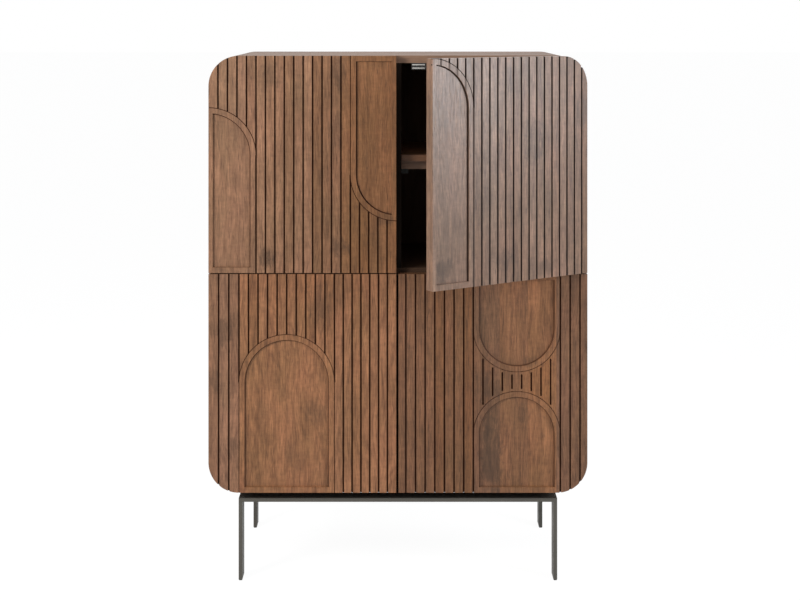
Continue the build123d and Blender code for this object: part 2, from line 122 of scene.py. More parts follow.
class Graph:
    """Adds shader nodes to one node tree and joins them."""

    def __init__(self, tree: bpy.types.NodeTree) -> None:
        """Start on the tree of a material or of the world, and empty it."""
        self.tree = tree
        self.tree.nodes.clear()

    @classmethod
    def of_material(cls, name: str) -> tuple["Graph", bpy.types.Material]:
        """Make a material and the graph of its tree.

        Args:
            name: Name of the new material.

        Returns:
            The graph and the material.
        """
        material = bpy.data.materials.new(name)
        material.use_nodes = True
        return cls(material.node_tree), material

    def add(
        self,
        kind: str,
        links: dict[int | str, Value | Triple] | None = None,
        **settings: str,
    ) -> bpy.types.Node:
        """Add a node, set its properties and join its inputs.

        Args:
            kind: Blender's node type name.
            links: Input name or index to a value, a colour or an output socket.
            **settings: Node properties to set first.

        Returns:
            The new node.
        """
        node = self.tree.nodes.new(kind)
        for key, value in settings.items():
            setattr(node, key, value)
        for key, value in (links or {}).items():
            socket = node.inputs[key]
            if isinstance(value, Socket):
                self.tree.links.new(value, socket)
            elif socket.type == "RGBA":
                socket.default_value = (*value, 1.0)
            else:
                socket.default_value = value
        return node

    def place(self) -> Socket:
        """Return the place on the object, in its own axes."""
        return self.add("ShaderNodeTexCoord").outputs["Object"]

    def math(self, operation: str, *values: Value) -> Socket:
        """Add a Math node and return its output."""
        return self.add("ShaderNodeMath", dict(enumerate(values)), operation=operation).outputs[0]

    def largest(self, *values: Value) -> Value:
        """Return the largest of several values."""
        return reduce(lambda so_far, value: self.math("MAXIMUM", value, so_far), values)

    def ramp(
        self, value: Socket, low: float, high: float, to_low: float = 0.0, to_high: float = 1.0
    ) -> Socket:
        """Map a value from one range to another, clamped."""
        links = {0: value, 1: low, 2: high, 3: to_low, 4: to_high}
        return self.add("ShaderNodeMapRange", links).outputs[0]

    def spread(self, noise: Socket, to_low: float = 0.0, to_high: float = 1.0) -> Socket:
        """Map the range that most of a noise lies in to another, clamped."""
        return self.ramp(noise, *MOST_OF_A_NOISE, to_low, to_high)

    def uneven(self, noise: Socket, middle: float, less: float, more: float) -> Socket:
        """Vary a roughness round its middle."""
        return self.spread(noise, middle - less, middle + more)

    def noise(
        self, place: Socket, scale: float, detail: float, rough: float, bend: float = 0.0
    ) -> Socket:
        """Add a noise texture and return its factor."""
        sizes = {"Scale": scale, "Detail": detail, "Roughness": rough, "Distortion": bend}
        return self.add("ShaderNodeTexNoise", {"Vector": place, **sizes}).outputs["Fac"]

    def random(self, number: Socket) -> bpy.types.Node:
        """Add a random value and colour for each whole number."""
        return self.add("ShaderNodeTexWhiteNoise", {"W": number}, noise_dimensions="1D")

    def scaled(self, place: Socket, scale: Triple, offset: Triple = (0, 0, 0)) -> Socket:
        """Scale and move a coordinate."""
        links = {"Vector": place, "Location": offset, "Scale": scale}
        return self.add("ShaderNodeMapping", links).outputs[0]

    def upright(self, place: Socket, along: float) -> Socket:
        """Draw a texture out up the object, to a share of its own scale."""
        return self.scaled(place, (1.0, 1.0, along))

    def vector(self, operation: str, first: Socket, second: Socket | Triple) -> Socket:
        """Add a Vector Math node and return its output."""
        links = {0: first, 1: second}
        return self.add("ShaderNodeVectorMath", links, operation=operation).outputs[0]

    def blend(self, factor: Value, first: Value, second: Value) -> Socket:
        """Blend two values."""
        links = {0: factor, 2: first, 3: second}
        return self.add("ShaderNodeMix", links, data_type="FLOAT").outputs[0]

    def mix(
        self, factor: Value, first: Socket | Colour, second: Socket | Colour, kind: str = "MIX"
    ) -> Socket:
        """Mix two colours."""
        links = {0: factor, 6: first, 7: second}
        return self.add("ShaderNodeMix", links, data_type="RGBA", blend_type=kind).outputs[2]

    def bump(self, height: Socket, strength: float, distance: float) -> Socket:
        """Turn a height into a shading normal."""
        links = {"Height": height, "Strength": strength, "Distance": distance}
        return self.add("ShaderNodeBump", links).outputs[0]

    def principled(self, **inputs: Value | Colour) -> None:
        """Close the graph with a Principled shader.

        Args:
            **inputs: The shader's inputs, with underscores for the spaces in their names.
        """
        links = {key.replace("_", " "): value for key, value in inputs.items()}
        shader = self.add("ShaderNodeBsdfPrincipled", links)
        self.add("ShaderNodeOutputMaterial", {"Surface": shader.outputs[0]})

    def background_seen(self) -> Value:
        """Tell the rays that look at the background from those that light the object.

        Returns:
            1 where the camera, a gloss or a glass looks, and 0 for the light itself.
        """
        path = self.add("ShaderNodeLightPath").outputs
        rays = ("Is Camera Ray", "Is Glossy Ray", "Is Transmission Ray")
        return self.largest(*(path[ray] for ray in rays))


def pores_of_wood(g: Graph, drawn_out: Socket, scale: float) -> Socket:
    """Find the pores in a coordinate that is drawn out along the grain."""
    return g.ramp(g.noise(drawn_out, scale, detail=1.0, rough=0.4), 0.60, 0.70)


def relief_of_wood(g: Graph, fibre: Socket, pores: Socket, strength: float) -> Socket:
    """Raise the fibres, sink the pores and turn them into a shading normal."""
    height = g.math("MULTIPLY_ADD", fibre, 0.6, g.math("MULTIPLY", pores, -0.8))
    return g.bump(height, strength, GRAIN_DEPTH)


# ---- finishes ------------------------------------------------------------------


@dataclass(frozen=True)
class Spot:
    """The spot of a door that its finish is worked out for.

    Attributes:
        g: Graph of the finish.
        across: Place across the door.
        depth: Depth behind the outer face.
        height: Place up the door.
    """

    g: Graph
    across: Socket
    depth: Socket
    height: Socket


@dataclass(frozen=True)
class Arch:
    """One carved arch of a door.

    Attributes:
        centre: Distance of its middle from the cabinet's middle.
        radius: Radius of its outer line.
        spring: Height at which its legs meet the curve.
        hangs: True when it hangs from the door's top edge.
    """

    centre: float
    radius: float
    spring: float
    hangs: bool = False

    def reach(self, spot: Spot) -> Socket:
        """Measure how far a spot lies from the arch's middle.

        Args:
            spot: Spot of the door.

        Returns:
            The distance from its middle, or from its middle line beside its legs.
        """
        g = spot.g
        side = g.math("SUBTRACT", spot.across, self.centre)
        ends = (self.spring, spot.height) if self.hangs else (spot.height, self.spring)
        rise = g.math("MAXIMUM", g.math("SUBTRACT", *ends), 0.0)
        square = g.math("MULTIPLY_ADD", rise, rise, g.math("MULTIPLY", side, side))
        return g.math("SQRT", square)


@dataclass(frozen=True)
class Knot:
    """A dark, smoky patch in the wood of a door.

    Attributes:
        centre: Distance of its middle from the cabinet's middle.
        height: Height of its middle.
        half_width: Half of its width.
        half_height: Half of its height.
        strength: How dark it is, from 0 to 1.
        fade: Squares of the shares of its size between which it fades out.
    """

    centre: float
    height: float
    half_width: float
    half_height: float
    strength: float
    fade: tuple[float, float] = (0.2, 1.5)

    def mask(self, spot: Spot, ragged: Socket) -> Socket:
        """Find the knot.

        Args:
            spot: Spot of the door.
            ragged: Noise that makes its edge ragged.

        Returns:
            How smoky the wood is, from 0 to the knot's strength.
        """
        g = spot.g
        aside = g.math("DIVIDE", g.math("SUBTRACT", spot.across, self.centre), self.half_width)
        above = g.math("DIVIDE", g.math("SUBTRACT", spot.height, self.height), self.half_height)
        square = g.math("MULTIPLY_ADD", aside, aside, g.math("MULTIPLY", above, above))
        return g.ramp(g.math("ADD", square, ragged), *self.fade, self.strength, 0.0)


@dataclass(frozen=True)
class Carving:
    """Where a door's slats and arches lie, and the widths of their cuts.

    Attributes:
        edges: Zone edges across the door, from the left.
        slats: Slats in each zone.
        arches: The arches carved in the door.
        rim: Width of an arch's flush rim.
        wall: Width of the band of painted shade at the foot of a field's wall.
        line: Half of the width of the fine line round an arch.
        groove: Half of a groove's width as a share of a slat.
        field: Depth of an arch's sunk field.
        under: How far below the fields the look of the face still reaches.
        skin: Depth down to which the face stays free of painted shade.
        cut: Depth at which a groove's painted shade is full.
        scribe: Depth at which the painted shade of the line round an arch is full.
        foot: Depths between which the painted shade on a field's wall builds up.
        shade_spread: How far a groove's painted shade spreads onto the face beside it, as a depth.
        groove_shade: How dark the painted shade in the grooves is, from 0 to 1.
        line_and_wall_shade: How dark the painted shade on the lines and walls is, from 0 to 1.
    """

    edges: tuple[float, ...]
    slats: tuple[int, ...]
    arches: tuple[Arch, ...]
    rim: float = 0.0145
    wall: float = 0.0019
    line: float = 0.0019
    groove: float = 0.11
    field: float = 0.006
    under: float = 0.0005
    skin: float = 0.0001
    cut: float = 0.0014
    scribe: float = 0.001
    foot: tuple[float, float] = (0.0004, 0.003)
    shade_spread: float = 0.0
    groove_shade: float = 0.95
    line_and_wall_shade: float = 0.95

    def slat_number(self, spot: Spot) -> Value:
        """Count the slats passed on the way across the door.

        Args:
            spot: Spot of the door.

        Returns:
            The slats passed, with the share of the slat that the spot is on.
        """
        number: Value = 0.0
        for start, stop, count in zip(self.edges, self.edges[1:], self.slats):
            passed = spot.g.ramp(spot.across, start, stop, 0.0, float(count))
            number = spot.g.math("ADD", passed, number)
        return number

    def masks(self, spot: Spot) -> tuple[Value, Value, Value, Value]:
        """Find the arches, their sunk fields, their outlines and the fields' walls.

        Args:
            spot: Spot of the door.

        Returns:
            Masks that are 1 inside an arch, on its field, on its outline and on the wall.
        """
        g = spot.g
        reaches = [(arch.reach(spot), arch.radius) for arch in self.arches]
        inside = [g.math("LESS_THAN", reach, radius) for reach, radius in reaches]
        field = [g.math("LESS_THAN", reach, radius - self.rim) for reach, radius in reaches]
        outline = [g.math("COMPARE", reach, radius, self.line) for reach, radius in reaches]
        wall = [
            g.math("COMPARE", reach, radius - self.rim - self.wall / 2, self.wall)
            for reach, radius in reaches
        ]
        return g.largest(*inside), g.largest(*field), g.largest(*outline), g.largest(*wall)

    def cut_shade(self, spot: Spot, number: Socket, cuts: list[Value]) -> Socket:
        """Paint shade into the grooves, the lines round the arches and the fields' walls.

        Args:
            spot: Spot of the door.
            number: Slats passed on the way across the door.
            cuts: Masks of the sunk fields, the outlines and the fields' walls.

        Returns:
            How much painted shade the wood gets, from 0 to 1.
        """
        g = spot.g
        field, outline, wall = cuts
        near = g.math("LESS_THAN", g.math("PINGPONG", number, 0.5), self.groove)
        middle = (self.edges[0] + self.edges[-1]) / 2
        sides = g.math("COMPARE", spot.across, middle, self.half_span())
        grooved = g.math("MULTIPLY", near, sides)
        slatted = g.math("MULTIPLY", grooved, g.math("SUBTRACT", 1.0, field))
        # Painted shade: colour darkens the grooves, the lines round the arches and the feet of the
        # fields' walls.
        marks = (
            (slatted, g.ramp(spot.depth, self.skin - self.shade_spread, self.cut, 0.0, self.groove_shade)),
            (outline, g.ramp(spot.depth, self.skin, self.scribe, 0.0, self.line_and_wall_shade)),
            (wall, g.ramp(spot.depth, *self.foot, 0.0, self.line_and_wall_shade)),
        )
        darkest = g.largest(*(g.math("MULTIPLY", mask, dark) for mask, dark in marks))
        return g.math("MULTIPLY", self.near_face(spot), darkest)

    def near_face(self, spot: Spot) -> Socket:
        """Return 1 on the face and in its cuts, and 0 further back."""
        return spot.g.math("LESS_THAN", spot.depth, self.field + self.under)

    def half_span(self) -> float:
        """Half of the door's width, less the fine edge that stays free of painted shade."""
        return (self.edges[-1] - self.edges[0]) / 2 - self.line


@dataclass(frozen=True)
class DoorWood:
    """Oiled hardwood of a carved door, glued up from boards with their own tones.

    Attributes:
        name: Material name.
        light: Colour of the light grain.
        dark: Colour of the dark grain.
        carving: The door's slats and arches.
        boards: How light and grey each board is, 0 to 1 from the left, partly a painted sheen.
        knots: Its dark knotty patches.
        first: Left edge of the first board.
        corner: X and Y of the door's own zero as it stands at rest.
        seed: Offset that gives the door a grain of its own.
        board: Width of the boards.
        turn: Degrees the door stands open at rest.
        slat_seed: Further offset of the tones of its slats.
        cut_apart: How far apart in the log the boards are cut.
        apart: How much each slat differs from its board.
        fine: Strength of the fine streaks against the broad ones.
        waves: Strength of the wavy growth lines.
        growth_lines: How close the growth lines lie.
        sway: How far the grain sways sideways.
        gloss: Specular level of the oiled face.
        sheen: Middle roughness of the oiled face.
        stain: Colour of the painted shade in its cuts.
        smoke: Colour of the knots.
        pore: Colour of the pores.
    """

    name: str
    light: Colour
    dark: Colour
    carving: Carving
    boards: tuple[tuple[float, float], ...]
    knots: tuple[Knot, ...]
    first: float
    corner: tuple[float, float]
    seed: float
    board: float = 0.0745
    turn: float = 0.0
    slat_seed: float = 53.7
    cut_apart: Triple = (3.0, 3.0, 7.0)
    apart: float = 0.15
    fine: float = 0.5
    waves: float = 0.1
    growth_lines: float = 9.0
    sway: float = 0.028
    gloss: float = 0.3
    sheen: float = 0.5
    stain: Colour = srgb(62, 33, 18)
    smoke: Colour = srgb(62, 46, 34)
    pore: Colour = srgb(46, 29, 20)

    def build(self) -> bpy.types.Material:
        """Make the material.

        Returns:
            The material.
        """
        g, material = Graph.of_material(self.name)
        turn = (0.0, 0.0, math.radians(self.turn))
        links = {"Vector": g.place(), "Location": (*self.corner, 0.0), "Rotation": turn}
        own_place = g.add("ShaderNodeMapping", links, vector_type="TEXTURE").outputs[0]
        spot = Spot(g, *g.add("ShaderNodeSeparateXYZ", {0: own_place}).outputs)
        number = self.carving.slat_number(spot)
        inside, *cuts = self.carving.masks(spot)
        cut_up = g.math("MULTIPLY", self.carving.near_face(spot), g.math("SUBTRACT", 1.0, inside))
        slat = g.math("MULTIPLY", g.math("FLOOR", number), cut_up)
        tone, grey, here = self.boarding(spot, own_place, slat)
        wood, fibre, pores = self.grain(g, here, tone, grey, self.knottiness(spot, here))
        cut_shade = self.carving.cut_shade(spot, number, cuts)
        g.principled(
            # The cuts take the colour of the painted shade and get rougher.
            Base_Color=g.mix(cut_shade, wood, self.stain),
            Roughness=g.largest(g.uneven(fibre, self.sheen, less=0.08, more=0.08), cut_shade),
            Normal=relief_of_wood(g, fibre, pores, strength=0.35),
            Specular_IOR_Level=self.gloss,
        )
        return material

    def boarding(self, spot: Spot, place: Socket, slat: Socket) -> tuple[Socket, Socket, Socket]:
        """Lay the boards and slats out across the door.

        Args:
            spot: Spot of the door.
            place: The same spot as one coordinate.
            slat: Number of the slat, or 0 where the wood isn't cut into slats.

        Returns:
            How light and how grey the board and slat are, and the place in the log
            that the board was cut from.
        """
        g = spot.g
        along = g.math("DIVIDE", g.math("SUBTRACT", spot.across, self.first), self.board)
        ramp = g.add("ShaderNodeValToRGB", {0: g.math("DIVIDE", along, float(len(self.boards)))})
        ramp.color_ramp.interpolation = "CONSTANT"
        for _ in self.boards[2:]:
            ramp.color_ramp.elements.new(0.5)
        for step, (element, (light, grey)) in enumerate(zip(ramp.color_ramp.elements, self.boards)):
            element.position = step / len(self.boards)
            element.color = (light, grey, 0.0, 1.0)
        light, grey = g.add("ShaderNodeSeparateColor", {0: ramp.outputs[0]}).outputs[:2]
        by_slat = g.random(g.math("ADD", slat, self.seed + self.slat_seed)).outputs["Value"]
        by_board = g.random(g.math("ADD", g.math("FLOOR", along), self.seed)).outputs["Color"]
        here = g.vector("ADD", place, g.vector("MULTIPLY", by_board, self.cut_apart))
        return g.blend(self.apart, light, by_slat), g.blend(self.apart, grey, by_slat), here

    def knottiness(self, spot: Spot, here: Socket) -> Value:
        """Find the knots and a few faint smoky streaks.

        Args:
            spot: Spot of the door.
            here: Place in the log.

        Returns:
            How smoky the wood is, from 0 to 1.
        """
        g = spot.g
        aside = g.scaled(here, (1.0, 1.0, 0.36), offset=(1.9, 0.0, 0.7))
        smoke = g.noise(aside, scale=15.0, detail=2.0, rough=0.55, bend=0.6)
        torn = g.noise(g.upright(here, 0.5), scale=55.0, detail=4.0, rough=0.65, bend=0.8)
        ragged = g.spread(torn, -1.1, 1.1)
        knots = [knot.mask(spot, ragged) for knot in self.knots]
        return g.largest(g.ramp(smoke, 0.60, 0.78, 0.0, 0.3), *knots)

    def grain(
        self, g: Graph, here: Socket, tone: Socket, grey: Socket, knotty: Value
    ) -> tuple[Socket, Socket, Socket]:
        """Colour the wood with streaks, clouds, ripples, knots, fibres and pores.

        Args:
            g: Graph to add to.
            here: Place in the log.
            tone: How light the board and slat are; on the open door partly a painted sheen.
            grey: How grey the board and slat are, partly as a painted sheen.
            knotty: How smoky the wood is.

        Returns:
            The colour, the fibres and the pores.
        """
        bend = g.noise(g.upright(here, 0.5), scale=6.0, detail=2.0, rough=0.5)
        sideways = g.add("ShaderNodeCombineXYZ", {0: g.math("MULTIPLY", bend, self.sway)})
        bent = g.vector("ADD", here, sideways.outputs[0])
        broad = g.noise(g.upright(bent, 0.10), scale=75.0, detail=3.0, rough=0.6, bend=0.2)
        thin = g.noise(g.upright(bent, 0.09), scale=280.0, detail=3.0, rough=0.65)
        cloud = g.noise(g.upright(here, 0.45), scale=14.0, detail=3.0, rough=0.55)
        ripple = g.noise(g.scaled(here, (0.35, 1.0, 1.0)), scale=130.0, detail=3.0, rough=0.6)
        growth = g.noise(g.upright(bent, 0.20), scale=15.0, detail=2.0, rough=0.4, bend=1.2)
        wave = g.math("PINGPONG", g.math("MULTIPLY", growth, self.growth_lines), 0.5)
        fibre = g.noise(g.upright(bent, 0.03), scale=420.0, detail=3.0, rough=0.7)
        pores = pores_of_wood(g, g.upright(bent, 0.06), scale=700.0)
        streaks = g.blend(self.fine, g.spread(broad), g.ramp(thin, 0.31, 0.69))
        lined = g.math("MULTIPLY_ADD", g.ramp(wave, 0.0, 0.5, 0.5, -0.5), self.waves, streaks)
        value = g.math("MULTIPLY", g.ramp(tone, 0.0, 1.0, 0.70, 1.35), g.spread(cloud, 1.15, 0.85))
        looks = {
            "Hue": g.spread(cloud, 0.496, 0.504),
            # Greyer boards paint part of a sheen.
            "Saturation": g.ramp(grey, 0.0, 1.0, 1.20, 0.80),
            "Value": g.math("MULTIPLY", value, g.spread(ripple, 1.10, 0.90)),
            "Color": g.mix(lined, self.light, self.dark),
        }
        wood = g.add("ShaderNodeHueSaturation", looks).outputs[0]
        smoked = g.mix(knotty, wood, self.smoke)
        fibred = g.mix(g.ramp(fibre, 0.38, 0.72, 0.0, 0.30), smoked, self.dark, "MULTIPLY")
        return g.mix(g.math("MULTIPLY", pores, 0.45), fibred, self.pore), fibre, pores


@dataclass(frozen=True)
class BoardWood:
    """Plain oiled boards of the carcass and the interior.

    Attributes:
        name: Material name.
        light: Colour of the light grain.
        dark: Colour of the dark grain.
        run: Axis the grain runs along.
        seed: Offset that gives the board a grain of its own.
        sheen: Middle roughness of the oiled face.
        gloss: Specular level of the oiled face.
    """

    name: str
    light: Colour
    dark: Colour
    run: Run
    seed: float
    sheen: float = 0.5
    gloss: float = 0.4

    def build(self) -> bpy.types.Material:
        """Make the material.

        Returns:
            The material.
        """
        g, material = Graph.of_material(self.name)
        offset = (self.seed, self.seed * 0.7, self.seed * 0.3)
        here = g.scaled(g.place(), (1.0, 1.0, 1.0), offset)
        figure = g.noise(self.drawn(g, here, 0.08), scale=40.0, detail=4.0, rough=0.6, bend=0.4)
        fibre = g.noise(self.drawn(g, here, 0.03), scale=400.0, detail=3.0, rough=0.7)
        cloud = g.noise(self.drawn(g, here, 0.30), scale=6.0, detail=3.0, rough=0.5)
        pores = pores_of_wood(g, self.drawn(g, here, 0.05), scale=800.0)
        wood = g.mix(g.blend(0.4, g.spread(figure), g.spread(cloud)), self.light, self.dark)
        fibred = g.mix(g.ramp(fibre, 0.35, 0.75, 0.0, 0.3), wood, self.dark, "MULTIPLY")
        g.principled(
            Base_Color=g.mix(g.math("MULTIPLY", pores, 0.3), fibred, dimmed(self.dark, 0.4)),
            Roughness=g.uneven(fibre, self.sheen, less=0.07, more=0.08),
            Normal=relief_of_wood(g, fibre, pores, strength=0.3),
            Specular_IOR_Level=self.gloss,
        )
        return material

    def drawn(self, g: Graph, place: Socket, along: float) -> Socket:
        """Draw a texture out along the grain, to a share of its own scale."""
        return g.scaled(place, tuple(along if axis == self.run.value else 1.0 for axis in range(3)))


@dataclass(frozen=True)
class MetalFinish:
    """Plated metal with fine drawn lines.

    Attributes:
        name: Material name.
        colour: Colour of the metal.
        roughness: Middle roughness.
        lines: How many drawn lines to the metre.
    """

    name: str
    colour: Colour
    roughness: float = 0.28
    lines: float = 700.0

    def build(self) -> bpy.types.Material:
        """Make the material.

        Returns:
            The material.
        """
        g, material = Graph.of_material(self.name)
        place = g.place()
        drawn = g.noise(g.upright(place, 0.05), self.lines, detail=2.0, rough=0.5)
        stain = g.noise(place, scale=60.0, detail=3.0, rough=0.6)
        stained = g.ramp(stain, 0.35, 0.75, 0.0, 0.35)
        g.principled(
            Base_Color=g.mix(stained, self.colour, dimmed(self.colour, 0.7)),
            Metallic=1.0,
            Roughness=g.uneven(stain, self.roughness, less=0.07, more=0.1),
            Normal=g.bump(drawn, strength=0.15, distance=0.1 * MM),
        )
        return material


@dataclass(frozen=True)
class CoatFinish:
    """Powder coat, stain or moulded plastic with a fine orange-peel skin.

    Attributes:
        name: Material name.
        colour: Colour of the coat.
        roughness: Middle roughness.
        peel: Bumps to the metre.
        depth: Height of the bumps.
        gloss: Specular level of the coat.
    """

    name: str
    colour: Colour
    roughness: float = 0.5
    peel: float = 900.0
    depth: float = 0.15 * MM
    gloss: float = 0.35

    def build(self) -> bpy.types.Material:
        """Make the material.

        Returns:
            The material.
        """
        g, material = Graph.of_material(self.name)
        place = g.place()
        skin = g.noise(place, self.peel, detail=2.0, rough=0.5)
        cloud = g.noise(place, scale=24.0, detail=3.0, rough=0.6)
        g.principled(
            Base_Color=g.mix(g.spread(cloud, 0.0, 0.3), self.colour, dimmed(self.colour, 0.75)),
            Roughness=g.uneven(cloud, self.roughness, less=0.06, more=0.08),
            Normal=g.bump(skin, strength=0.3, distance=self.depth),
            Specular_IOR_Level=self.gloss,
        )
        return material


# ---- mesh helpers --------------------------------------------------------------


def linked(name: str, data: bpy.types.ID) -> bpy.types.Object:
    """Make an object and put it in the scene.

    Args:
        name: Name of the object.
        data: Its mesh, lamp or camera.

    Returns:
        The object.
    """
    made = bpy.data.objects.new(name, data)
    bpy.context.scene.collection.objects.link(made)
    return made


def meshed(name: str, mesh: bmesh.types.BMesh, material: bpy.types.Material) -> bpy.types.Object:
    """Turn a bmesh into an object.

    Args:
        name: Name of the object.
        mesh: Its shape; freed here.
        material: Its finish.

    Returns:
        The object.
    """
    data = bpy.data.meshes.new(name)
    mesh.to_mesh(data)
    mesh.free()
    data.materials.append(material)
    return linked(name, data)


def new_piece(
    name: str, mesh: bmesh.types.BMesh, body: str, material: bpy.types.Material
) -> None:
    """Turn a bmesh into a finished piece that rides on a body.

    Args:
        name: Piece name.
        mesh: Its shape at rest; freed here.
        body: Body it moves with.
        material: Its finish.
    """
    bmesh.ops.recalc_face_normals(mesh, faces=mesh.faces)
    piece = meshed(name, mesh, material)
    piece.data.shade_smooth()
    soften(piece, SMALL_ROUNDING, segments=1)
    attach(piece, body)
    log.info("piece %s: %d faces on %s", name, len(piece.data.polygons), body)


def dress(node: bpy.types.Object, material: bpy.types.Material, rounding: float) -> None:
    """Give a CAD node its finish and rounded edges.

    Args:
        node: The node's object.
        material: Its finish.
        rounding: Width of the edge rounding.
    """
    node.data.materials.clear()
    node.data.materials.append(material)
    soften(node, rounding)
    log.info("finish %s on %s", material.name, node.name)


def soften(piece: bpy.types.Object, width: float, segments: int = 2) -> None:
    """Join a piece's facets, round its sharp edges and keep its flats flat.

    Args:
        piece: Object to round.
        width: Width of the rounding.
        segments: Facets across the rounding.
    """
    piece.modifiers.new("joined_facets", "WELD").merge_threshold = FACET_GAP
    bevel = piece.modifiers.new("edge_rounding", "BEVEL")
    bevel.width = width
    bevel.segments = segments
    bevel.limit_method = "ANGLE"
    bevel.angle_limit = SHARP_ANGLE
    normal = piece.modifiers.new("flat_faces", "WEIGHTED_NORMAL")
    normal.keep_sharp = False
    normal.weight = FLAT_FACE_WEIGHT


def facing(point: Vector, outward: Vector) -> Matrix:
    """Placement at a point whose +Z runs outward."""
    return Matrix.Translation(point) @ outward.to_track_quat("Z", "Y").to_matrix().to_4x4()


def add_loft(mesh: bmesh.types.BMesh, rings: list[list[Vector]]) -> None:
    """Skin a row of rings that have the same number of points, closed at both ends.

    Args:
        mesh: Mesh to add to.
        rings: Points of each ring, from the first to the last.
    """
    rows = [[mesh.verts.new(point) for point in ring] for ring in rings]
    for lower, upper in zip(rows, rows[1:]):
        for k, (here, over) in enumerate(zip(lower, upper)):
            mesh.faces.new((lower[k - 1], here, over, upper[k - 1]))
    mesh.faces.new(rows[-1])
    mesh.faces.new(list(reversed(rows[0])))


@dataclass(frozen=True)
class ScrewHead:
    """Crowned screw head with a cross recess.

    Attributes:
        radius: Radius of the head.
        height: Height of the crown above the surface.
        around: Points around the head, a multiple of four.
        crown: Shares of the radius and the height that the crown runs through.
        recess: Shares of the height at the recess's mouth and floor.
        arms: Shares of the radius that the recess reaches along an arm, at the arm's
            corners and between the arms.
    """

    radius: float
    height: float
    around: int = 24
    crown: tuple[tuple[float, float], ...] = ((1, 0), (0.98, 0.35), (0.8, 0.8), (0.5, 1))
    recess: tuple[float, float] = (0.95, 0.05)
    arms: Triple = (0.46, 0.40, 0.14)

    def add(self, mesh: bmesh.types.BMesh, place: Matrix) -> None:
        """Add one head.

        Args:
            mesh: Mesh to add to.
            place: Where the head sits; its own +Z points out of the surface.
        """
        crown = [self.ring(lambda _, share=share: share, level) for share, level in self.crown]
        cross = [self.ring(self.arm, level) for level in self.recess]
        add_loft(mesh, [[place @ point for point in ring] for ring in crown + cross])

    def ring(self, share: Callable[[int], float], level: float) -> list[Vector]:
        """Lay points out round the head.

        Args:
            share: Gives the share of the radius that each numbered point reaches.
            level: Share of the height.

        Returns:
            The points.
        """
        turns = [math.tau * k / self.around for k in range(self.around)]
        reach = [self.radius * share(k) for k in range(self.around)]
        height = self.height * level
        return [Vector((r * math.cos(t), r * math.sin(t), height)) for r, t in zip(reach, turns)]

    def arm(self, number: int) -> float:
        """Share of the radius that the cross recess reaches at one of the points."""
        off_arm = min(number % (self.around // 4), -number % (self.around // 4))
        return self.arms[min(off_arm, 2)]


# ---- sub-assemblies ------------------------------------------------------------


@dataclass(frozen=True)
class Cabinet:
    """Sizes of the whole cabinet that its sub-assemblies share.

    Attributes:
        front: Y of the closed doors' outer faces.
        depth: Depth over the closed doors.
        door: Thickness of a door.
        standoff: Gap between a door and the carcass.
        inner_half: Half of the width between the side panels.
        lower_hinges: Heights of the lower doors' hinges.
        upper_hinges: Heights of the upper doors' hinges.
        lower_strike: Height of the lower doors' strike plates.
        upper_strike: Height of the upper doors' strike plates.
        catch: Distance of a catch from the cabinet's middle.
        fitting_edge: Rounding of the metal fittings' edges.
    """

    front: float = -0.108317
    depth: float = 0.490
    door: float = 0.027
    standoff: float = 0.0025
    inner_half: float = 0.480
    lower_hinges: tuple[float, float] = (0.349, 0.7057)
    upper_hinges: tuple[float, float] = (0.9287, 1.282)
    lower_strike: float = 0.7982
    upper_strike: float = 1.363
    catch: float = 0.055
    fitting_edge: float = 0.25 * MM

    @property
    def carcass_front(self) -> float:
        """Y of the carcass's front edges."""
        return self.front + self.door + self.standoff

    @property
    def rear(self) -> float:
        """Y of the back panel's outer face."""
        return self.front + self.depth


@dataclass(frozen=True)
class CarvedDoor:
    """One door with its hinge cups and small screws.

    Attributes:
        name: Name of the door, such as upper_left.
        side: Side of the cabinet that it hangs on.
        hinges: Heights of its hinges.
        strike: Height of its strike plate.
        wood: Its finish.
        cabinet: Sizes of the cabinet.
        rounding: Rounding of the wood's edges.
        wing: Distance of the cups' screws from the cabinet's middle.
        cup_screws: Distance of the cups' screws above and below a hinge.
        cup_head: Head of the cups' screws.
        strike_screws: Distance of the strike plate's screws from its middle.
        strike_plate: Thickness of the strike plate.
        strike_head: Head of the strike plate's screws.
    """

    name: str
    side: Side
    hinges: tuple[float, float]
    strike: float
    wood: DoorWood
    cabinet: Cabinet
    rounding: float = 0.5 * MM
    wing: float = 0.4715
    cup_screws: float = 22.5 * MM
    cup_head: ScrewHead = ScrewHead(3.2 * MM, 0.9 * MM)
    strike_screws: float = 9 * MM
    strike_plate: float = 1.2 * MM
    strike_head: ScrewHead = ScrewHead(2.2 * MM, 0.25 * MM)

    def build(self, nodes: Nodes, metal: bpy.types.Material) -> None:
        """Finish the door's solids and add its screws.

        Args:
            nodes: CAD nodes by name.
            metal: Finish of the fittings.
        """
        dress(nodes[f"door_{self.name}"], self.wood.build(), self.rounding)
        for part in ("hinge_cups", "cup_pins", "hinge_links", "strike_plate"):
            dress(nodes[f"{part}_{self.name}"], metal, self.cabinet.fitting_edge)
        screws = bmesh.new()
        rear, side = self.cabinet.door, self.side.value
        for level in self.hinges:
            for rise in (-self.cup_screws, self.cup_screws):
                spot = Vector((side * self.wing, rear, level + rise))
                self.cup_head.add(screws, self.placed(spot))
        plate = rear + self.strike_plate
        for aside in (-self.strike_screws, self.strike_screws):
            spot = Vector((side * self.cabinet.catch + aside, plate, self.strike))
            self.strike_head.add(screws, self.placed(spot))
        new_piece(f"door_screws_{self.name}", screws, f"{self.name}_door", metal)

    def placed(self, spot: Vector) -> Matrix:
        """Placement at rest of a screw at a spot in the door's own axes."""
        turn = Matrix.Rotation(math.radians(self.wood.turn), 4, "Z")
        return Matrix.Translation((*self.wood.corner, 0.0)) @ turn @ facing(spot, OUTWARD_BACK)


